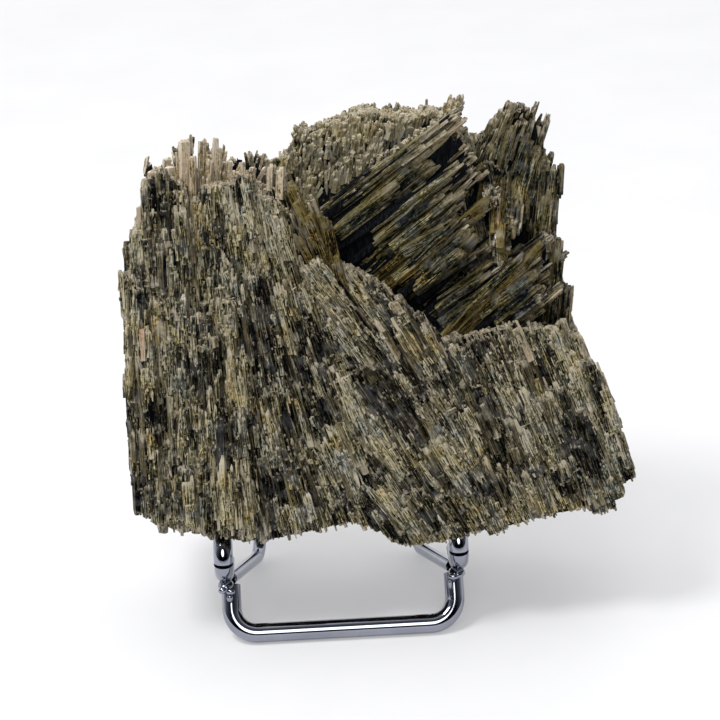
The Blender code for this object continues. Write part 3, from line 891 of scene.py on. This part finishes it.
class Patch:
    """Blades gathered for one piece."""

    def __init__(self, name, finish):
        self.name = name
        self.finish = finish
        self.blades = [[] for _ in MASTERS]

    def add(self, root, run, out, size, tone):
        """Note one blade: size is its width, thickness and length."""
        master = int(dice.integers(len(MASTERS)))
        self.blades[master].append((*root, *run, *out, *size, tone))

    def arrays(self, master):
        """Every blade of one master: points, faces and attributes."""
        shape, corners = MASTERS[master]
        rows = np.array(self.blades[master])
        root, run, out, size, tone = np.split(rows, (3, 6, 9, 12), axis=1)
        across = np.cross(run, out)
        across /= np.linalg.norm(across, axis=1)[:, None]
        out = np.cross(across, run)
        local = shape[None] * size[:, None]
        points = (root[:, None] + local[..., :1] * across[:, None]
                  - local[..., 1:2] * out[:, None] + local[..., 2:] * run[:, None])
        faces = corners[None] + (np.arange(len(rows)) * len(shape))[:, None, None]
        grain = local + dice.uniform(0, 400, (len(rows), 1, 3))
        return (points.reshape(-1, 3), faces.reshape(-1, 3), grain.reshape(-1, 3),
                np.repeat(tone, len(shape)),
                np.tile(np.clip(shape[:, 2], 0, 1), len(rows)),
                np.tile(np.clip(shape[:, 0] * 2, -1, 1), len(rows)))

    def build(self):
        """Make the mesh object, in world metres, with its attributes."""
        parts, start = [], 0
        for master, blades in enumerate(self.blades):
            if blades:
                part = self.arrays(master)
                parts.append((part[0], part[1] + start, *part[2:]))
                start += len(part[0])
        points, faces, grain, tone, along, across = (np.concatenate(rows) for rows in zip(*parts))
        mesh = bpy.data.meshes.new(self.name)
        mesh.from_pydata(moved(points, TO_WORLD).tolist(), [], faces.tolist())
        layer = mesh.attributes.new("grain", "FLOAT_VECTOR", "POINT")
        layer.data.foreach_set("vector", grain.ravel())
        for title, values in (("tone", tone), ("along", along), ("across", across)):
            mesh.attributes.new(title, "FLOAT", "POINT").data.foreach_set("value", values)
        mesh.materials.append(self.finish)
        piece = new_object(self.name, mesh)
        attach(piece, "root")
        print(self.name, sum(map(len, self.blades)), "blades,", len(faces), "triangles")


# %% [markdown]
# Blades break off in groups, which leaves terraces.  So how far a blade stands out,
# and how light it is, are mostly those of the cell it lies in: a table of random
# numbers looked up by its place across and along the fibres, at three sizes.

# %% Terraces
dice = np.random.default_rng(5)
TABLE_SIZE = 64
TABLE = dice.random((TABLE_SIZE, TABLE_SIZE))
CELLS = (
    # across, along (mm), share
    (6.0, 12.0, 0.34),
    (1.9, 5.5, 0.38),
    (0.7, 2.8, 0.28),
)


def terrace(place, run, shift):
    """A number from 0 to 1 that is shared by neighbours along the fibres."""
    across = place[0] * run[2] - place[2] * run[0]
    along = float(np.dot(place, run))
    total = 0.0
    for width, length, share in CELLS:
        column = math.floor(across / width + shift) % TABLE_SIZE
        row = math.floor(along / length + TABLE[column, shift % TABLE_SIZE] * 7)
        total += share * TABLE[column, row % TABLE_SIZE]
    return total


print("terraces of", [cell[:2] for cell in CELLS], "mm")

# %% [markdown]
# The front has large forms too: dark hollows where whole groups of blades have
# gone, darkened by painted shade, and pale ridges of broken ends, lightened partly
# by painted highlight.

# %% Hollows and ridges
HOLLOW_EDGE = 1.40              # how far a hollow reaches past its ellipse
HOLLOW_RIM = 0.20               # width of its rim, in the same shares of the ellipse
RIDGE_REACH = 0.9               # mm
# hollows: their blades are sunk, and painted shade darkens them
SHADED_HOLLOWS = (
    # middle (u, w), half width, half length, lean
    (-19.6, 31.4, 4.2, 4.5, -35), (-12.5, 38.3, 2.2, 5.5, -8), (-27.8, 22.6, 2.4, 4.0, 0),
    (-0.4, 30.3, 2.0, 7.0, 14), (-5.9, 27.0, 1.7, 5.0, 14), (-8.6, 10.4, 4.5, 3.4, 0),
    (12.6, 18.6, 1.8, 11.0, 32), (6.4, 24.5, 1.5, 8.0, 32), (19.3, 26.5, 2.6, 3.0, 22),
    (32.8, 26.7, 4.0, 3.0, 20), (27.0, 15.9, 3.0, 5.0, 20), (39.7, 15.2, 2.4, 5.0, 18),
    (-21.4, 57.5, 0.7, 3.6, 0), (-13.8, 56.0, 0.8, 3.0, 4), (-5.3, 53.5, 1.0, 3.8, 12),
    (-18.0, 14.0, 1.4, 5.0, 3), (-29.5, 42.0, 0.9, 6.0, 0), (4.2, 8.0, 0.9, 6.0, 8),
)
# ridges: their blades are raised and lightened, as pale broken ends and as painted highlight
RIDGES = (
    # corners (u, w) along each ridge
    ((-4.7, 47.2), (0.9, 36.2), (2.3, 24.3), (13.1, 5.7)),
    ((-26.1, 33.2), (-19.8, 33.8), (-17.7, 37.2), (-13.2, 40.3), (-10.4, 48.9)),
    ((-11.8, 14.1), (-3.9, 15.7), (1.8, 13.9)),
    ((-15.7, 31.2), (-16.5, 25.3), (-20.1, 20.5)),
    ((3.0, 45.2), (8.3, 42.1), (13.5, 38.8)),
    ((16.7, 29.4), (25.5, 23.3)),
    ((5.4, 39.2), (16.2, 16.6), (21.1, 2.2)),
    ((-18.4, 8.1), (-16.5, 13.0), (-16.7, 18.0)),
)


def near_ridge(u, w):
    """How near a place is to one of the pale ridges of the front, 0 to 1."""
    nearest = math.inf
    for ridge in RIDGES:
        for (u1, w1), (u2, w2) in zip(ridge, ridge[1:]):
            du, dw = u2 - u1, w2 - w1
            share = ((u - u1) * du + (w - w1) * dw) / (du ** 2 + dw ** 2)
            share = min(1.0, max(0.0, share))
            nearest = min(nearest, math.hypot(u - u1 - share * du, w - w1 - share * dw))
    return max(0.0, 1 - nearest / RIDGE_REACH)


def hollow(u, w):
    """How deep a place lies in a hollow of the front, dark with painted shade, and how near its rim.
    """
    deepest = -1.0
    for middle_u, middle_w, wide, long, lean in SHADED_HOLLOWS:
        turn = math.radians(lean)
        du, dw = u - middle_u, w - middle_w
        side = (du * math.cos(turn) + dw * math.sin(turn)) / wide
        along = (dw * math.cos(turn) - du * math.sin(turn)) / long
        deepest = max(deepest, HOLLOW_EDGE - math.hypot(side, along))
    return min(1.0, max(0.0, 3 * deepest)), max(0.0, 1 - abs(deepest) / HOLLOW_RIM)


print(len(SHADED_HOLLOWS), "hollows and", len(RIDGES), "ridges")

# %% [markdown]
# Between them it is flaky.  Each random place owns what is nearest to it, measured
# shorter along the fibres, and so becomes a long flake, dark or light.

# %% Plates
PLATE_COUNT = 620
DARK_SHARE = 0.45
PLATE_STRETCH = 0.45            # how much less a millimetre along the fibres counts
PLATE_RIM = 0.55                # mm
PLATES = np.column_stack((
    dice.uniform(-38, 50, PLATE_COUNT),
    dice.uniform(-4, 68, PLATE_COUNT),
))
DARK = dice.uniform(0.0, 0.28, PLATE_COUNT)
LIGHT = dice.uniform(0.36, 0.75, PLATE_COUNT)
PLATE_TONES = np.where(dice.random(PLATE_COUNT) < DARK_SHARE, DARK, LIGHT)
PLATE_LIFTS = 0.5 * PLATE_TONES + 0.5 * dice.random(PLATE_COUNT)


def plate(place, run):
    """The tone and lift of the flake a place lies in, and how near its rim it is."""
    offsets = PLATES - (place[0], place[2])
    direction = np.array((run[0], run[2])) / (math.hypot(run[0], run[2]) + 0.001)
    along = offsets @ direction
    side = offsets @ np.array((direction[1], -direction[0]))
    gaps = np.hypot(side, along * PLATE_STRETCH)
    nearest, second = np.argpartition(gaps, 1)[:2]
    rim = max(0.0, 1 - (gaps[second] - gaps[nearest]) / PLATE_RIM)
    return PLATE_TONES[nearest], PLATE_LIFTS[nearest], rim


print("plates:", PLATE_COUNT, "of mean tone", PLATE_TONES.mean().round(2))

# %% [markdown]
# Rays find where blades go: every hit on the solid is a place for one.

# %% Rays onto the solid


def solid_tree(thing):
    """The solid as a search tree in the specimen's frame."""
    mesh = thing.data
    points = np.empty(len(mesh.vertices) * 3)
    mesh.vertices.foreach_get("co", points)
    points = moved(points.reshape(-1, 3), TO_STONE)
    faces = [tuple(polygon.vertices) for polygon in mesh.polygons]
    return BVHTree.FromPolygons(points.tolist(), faces), points.min(0), points.max(0)


TREE, LOW, HIGH = solid_tree(stone)
print("specimen in its own frame:", LOW.round(1), HIGH.round(1))


def rays(axis, side, count):
    """Places where rays along one axis, spread at random, meet the solid."""
    others = [index for index in range(3) if index != axis]
    aim = Vector((0, 0, 0))
    aim[axis] = -side
    for shares in dice.random((count, 2)):
        start = Vector((0, 0, 0))
        for index, share in zip(others, shares):
            start[index] = LOW[index] - 0.5 + share * (HIGH[index] - LOW[index] + 1)
        start[axis] = (HIGH[axis] + 5) if side > 0 else (LOW[axis] - 5)
        hit, normal, _, _ = TREE.ray_cast(start, aim)
        if hit is not None:
            yield np.array(hit), np.array(normal)


# %% [markdown]
# A blade is laid there along the fibres, partly sunk.  Its ends are drawn in, up to
# five times, while they are far from the solid, so that they stay near it.

# %% Laying a blade
USUAL_WIDTH, WIDEST = 0.30, 1.6             # mm
USUAL_LENGTH, LONGEST, LONGEST_ROD = 2.4, 11.0, 12.0
FRONT_DEPTH = 5                             # hollows and ridges are nearer than this v
BROKEN_SHARE = 0.12                         # of the blades away from any rim
SLACK, DRAW_IN = 0.45, 0.6                  # mm off the solid, and the share kept


def gap_to_solid(place):
    return TREE.find_nearest(Vector(place))[3]


def turned_out(normal, run, spread):
    """A direction out of the surface and square to the run, tipped a little."""
    out = normal - run * float(normal @ run)
    out /= np.linalg.norm(out)
    side = np.cross(run, out)
    angle = dice.normal(0, spread)
    return out * math.cos(angle) + side * math.sin(angle)


def slab_relief(hit, run):
    """A slab blade's tone, how far it stands out, and how near a rim it is."""
    ragged = terrace(hit, run, 0) - 0.5
    tone, lift, rim = plate(hit, run)
    depth_and_shade = 0.0
    if hit[1] < FRONT_DEPTH:
        depth_and_shade, lip = hollow(hit[0] + 1.6 * ragged, hit[2])
        depth_and_shade = min(1.0, depth_and_shade * (0.6 + 0.8 * terrace(hit, run, 5)))
        rim = max(lip, rim * (1 - 0.7 * depth_and_shade))
        ridge = near_ridge(hit[0] + 1.2 * ragged, hit[2])
        depth_and_shade, rim = depth_and_shade * (1 - ridge), max(rim, 1.3 * ridge)
    flat = max(0.0, 1 - depth_and_shade)
    # Hollows darken the tone as painted shade; rims and ridges lighten it, partly as pale broken ends
    # and partly as painted highlight.
    tone = 0.08 * depth_and_shade + tone * flat + 1.1 * ragged + 0.6 * rim + dice.normal(0, 0.12)
    lift = -0.4 + 1.2 * lift * flat + 1.1 * ragged + 0.4 * rim - 0.5 * depth_and_shade
    return tone, max(lift, dice.uniform(-0.05, 0.22)), rim


def lie(patch, hit, normal, run, rod):
    """Lay one blade along the surface; rod is the line it belongs to, or None."""
    width = min(WIDEST, USUAL_WIDTH * math.exp(abs(dice.normal(0, 0.65))))
    length = min(LONGEST, USUAL_LENGTH * math.exp(dice.normal(0, 0.5)) * (0.7 + width))
    if rod is not None:
        own = TABLE[rod % TABLE_SIZE, 5]
        lift = -0.9 + own + dice.normal(0, 0.2)
        tone = 0.10 + 0.5 * own + dice.normal(0, 0.20)
        length = min(LONGEST_ROD, length * 2)
    else:
        tone, lift, rim = slab_relief(hit, run)
        if dice.random() < BROKEN_SHARE + 0.4 * rim:
            run = run + dice.normal(0, 0.15, 3)
            length = dice.uniform(0.5, 1.4)
    run = run + dice.normal(0, 0.03, 3)
    run /= np.linalg.norm(run)
    out = turned_out(normal, run, 0.35)
    thick = max(0.35, width * dice.uniform(0.6, 1.1))
    before = length * dice.uniform(0.35, 0.65)
    after = length - before
    for _ in range(5):
        if gap_to_solid(hit - run * before) > SLACK:
            before *= DRAW_IN
        if gap_to_solid(hit + run * after) > SLACK:
            after *= DRAW_IN
    start = hit - run * before + out * (lift - thick * 0.5)
    length = before + after
    if dice.random() < 0.35 and rod is None:
        start, run = start + run * length, -run
    patch.add(start, run, out, (width, thick, length), min(1.0, max(0.0, tone)))


print("blades are mostly", USUAL_WIDTH, "by", USUAL_LENGTH, "mm")

# %% [markdown]
# Where the fibres come out end on, a blade stands up instead, as a small point.

# %% Standing blades, and covering a side
CROWN_RUN = np.array((0.14, -0.24, 0.95))
END_ON = 0.70                   # cosine of the angle from which fibres count as end on


def stand(patch, hit, run, tall, stout=1.0, spread=0.12, sunk=0.4):
    """Stand one blade up where the fibres come out end on."""
    run = run + dice.normal(0, spread, 3)
    run /= np.linalg.norm(run)
    width = stout * 0.35 * math.exp(abs(dice.normal(0, 0.45)))
    length = tall * (1.0 + 2.2 * terrace(hit, np.array((0, 0, 1.0)), 3) + dice.uniform(0, 0.8))
    out = dice.normal(0, 1, 3) + np.array((0, -0.8, 0))
    size = (width, width * dice.uniform(0.5, 1.0), length)
    patch.add(hit - run * (0.4 + length * sunk), run, out, size, np.clip(dice.normal(0.5, 0.24), 0, 1))


def cover(axis, side, count, choose, tall=0.8):
    """Cover one side: choose gives the patch for a place and region, or None."""
    for hit, normal in rays(axis, side, count):
        run, region, rod = fibre_run(hit)
        patch = choose(hit, region)
        if patch is None:
            continue
        facing = float(run @ normal)
        if region in ("crown", "tuft"):
            stand(patch, hit, CROWN_RUN, tall * 1.4, 1.1, 0.22, 0.25)
        elif abs(facing) > END_ON:
            stand(patch, hit, run if facing > 0 else -run, tall)
        else:
            lie(patch, hit, normal, run, rod)


print("points stand up where the cosine is over", END_ON)

# %% [markdown]
# The front first.  It is split into three pieces by u, and the sheaves and the
# crown get pieces of their own, because their finishes differ.

# %% The front
FRONT_RAYS = 36500
LEFT_END, RIGHT_START = -8, 16  # u
left = Patch("blades_left", SLAB)
middle = Patch("blades_middle", SLAB)
right = Patch("blades_right", SLAB)
fans = Patch("blades_fans", FAN)
crown = Patch("crown_points", POINTS)
tufts = Patch("clear_points", CLEAR)
FEWER = {"slab": 1.0, "right flank": 0.2, "crown": 0.35, "tuft": 0.15}


def front_patch(hit, region):
    """Sheaves and crown have larger blades, so they need fewer of them."""
    if dice.random() > FEWER.get(region, 0.05):
        return None
    if region == "crown":
        return crown
    if region == "tuft":
        return tufts
    if region != "slab":
        return fans
    return left if hit[0] < LEFT_END else middle if hit[0] < RIGHT_START else right


cover(1, -1, FRONT_RAYS, front_patch)
for patch in (left, middle, right, fans):
    patch.build()

# %% [markdown]
# The sheaves are rods with dark gaps between them.  Along every line of a sheaf go
# a few rods of different widths, some starting late and some ending early.

# %% Rods
RODS = {
    # rods to a line; the notch has crystals of its own
    "upper fan": 5, "middle fan": 5, "lower fan": 5, "hanging": 2, "right edge": 2,
    "peak": 3, "notch": 0,
}
rods = Patch("rods", FAN)


def rod(patch, root, tip, width, tone):
    """One crystal between two points, its wide side to the front."""
    run = np.array(tip) - np.array(root)
    length = float(np.linalg.norm(run))
    run /= length
    out = turned_out(np.array((0.0, -1.0, 0.0)), run, 0.4)
    patch.add(np.array(root), run, out, (width, width * 0.8, length / 1.12), tone)


for start, run, name in zip(LINE_STARTS, LINE_RUNS, LINE_NAMES):
    for _ in range(RODS.get(name, 3)):
        shift = dice.normal(0, (0.6, 0.5, 0.6))
        shift[1] -= dice.uniform(-0.8, 1.4)
        first = dice.uniform(0.0, 0.45)
        last = min(0.86 if "peak" in name else 0.96, first + dice.uniform(0.4, 1.0))
        bend = dice.normal(0, 0.5, 3)
        rod(rods, start + run * first + shift, start + run * last + shift + bend,
            dice.uniform(0.7, 2.0), float(np.clip(dice.normal(0.42, 0.22), 0, 1)))
rods.build()

# %% [markdown]
# Larger crystals stand free in front, amber where light comes through their edges,
# and a row of pale clear ones at the top left.  Each has three short companions.

# %% Large crystals
COMPANIONS = 3
CRYSTALS = (
    # root, tip (u, v, w), width
    ((0.8, 1.0, 43.4), (-3.4, -1.0, 55.4), 2.4), ((1.8, 1.0, 41.1), (-0.3, -0.8, 54.2), 2.2),
    ((2.8, 1.0, 40.1), (1.3, -0.6, 46.8), 1.7), ((-1.7, 3.0, 48.3), (-5.2, 1.6, 58.9), 2.0),
    ((29.5, 12.0, 57.5), (27.5, 3.0, 47.3), 2.4), ((29.5, 12.0, 52.0), (28.5, 3.0, 44.3), 1.5),
    ((32.5, 12.5, 56.5), (31.0, 5.0, 49.8), 1.5), ((35.5, 6.0, 32.0), (36.9, 3.0, 45.8), 1.9),
    ((20.0, 6.0, 31.5), (35.3, 2.2, 47.3), 2.2), ((9.5, 9.5, 40.5), (27.3, 3.5, 54.8), 2.2),
)
PALE_CRYSTALS = (
    ((-22.2, 7, 57.0), (-21.7, 7, 66.7), 1.7), ((-19.5, 8, 57.0), (-18.9, 8, 65.7), 1.3),
    ((-17.3, 8, 57.0), (-16.5, 8, 65.2), 1.4), ((-15.5, 8, 57.0), (-14.6, 8, 62.6), 1.0),
    ((-24.4, 5, 56.5), (-24.2, 5, 62.6), 1.4), ((-20.8, 6, 57.0), (-20.5, 6, 64.0), 1.2),
    ((-18.4, 6, 57.0), (-17.8, 6, 63.0), 1.2), ((-13.0, 8, 57.0), (-12.6, 8, 61.5), 0.9),
    ((-11.2, 8, 57.0), (-11.1, 8, 61.3), 0.9), ((-8.5, 8, 57.0), (-8.1, 8, 61.3), 0.9),
    ((-6.8, 5, 56.0), (-6.4, 5, 61.2), 1.2), ((-27.3, 3, 56.0), (-27.1, 3, 62.3), 1.3),
    ((-25.9, 3, 56.0), (-25.6, 3, 62.0), 1.2),
)
for name, finish, table in (
    ("large_crystals", AMBERY, CRYSTALS),
    ("pale_crystals", CLEAR, PALE_CRYSTALS),
):
    large = Patch(name, finish)
    for root, tip, width in table:
        rod(large, root, tip, width, dice.uniform(0.35, 0.75))
        short = np.array(root) * 0.4 + np.array(tip) * 0.6
        for _ in range(COMPANIONS):
            side = dice.normal(0, (0.45 * width, 0.5, 0.5))
            thin = width * dice.uniform(0.3, 0.6)
            rod(large, root + side, short + side * 1.2, thin, dice.uniform(0.2, 0.7))
    large.build()

# %% [markdown]
# Then the top, where the blades stand on end, and the sides, the underside and the
# back, where fewer are enough.

# %% Top, sides and back
LEDGE = (6, 30)                 # ledges are before this v and above this w
SIDES = (
    # axis, side, rays, height of a point
    (0, -1, 3200, 0.5),
    (0, 1, 3200, 0.5),
    (2, -1, 2200, 0.3),
)
tops = Patch("blades_top", SLAB)
bits = Patch("broken_bits", BROKEN)


def top_patch(hit, region):
    """Broken bits lie on the front's ledges, and dark blades everywhere else."""
    if region == "crown":
        return crown if dice.random() < 0.5 else None
    if region == "tuft":
        return tufts if dice.random() < 0.5 else None
    return bits if hit[1] < LEDGE[0] and hit[2] > LEDGE[1] else tops


cover(2, 1, 9000, top_patch, tall=0.55)
sides = Patch("blades_sides", SLAB)
for axis, side, count, tall in SIDES:
    cover(axis, side, count, lambda hit, region: sides, tall)
back = Patch("blades_back", SLAB)
cover(1, 1, 6800, lambda hit, region: back, tall=0.6)
for patch in (crown, tufts, tops, bits, sides, back):
    patch.build()
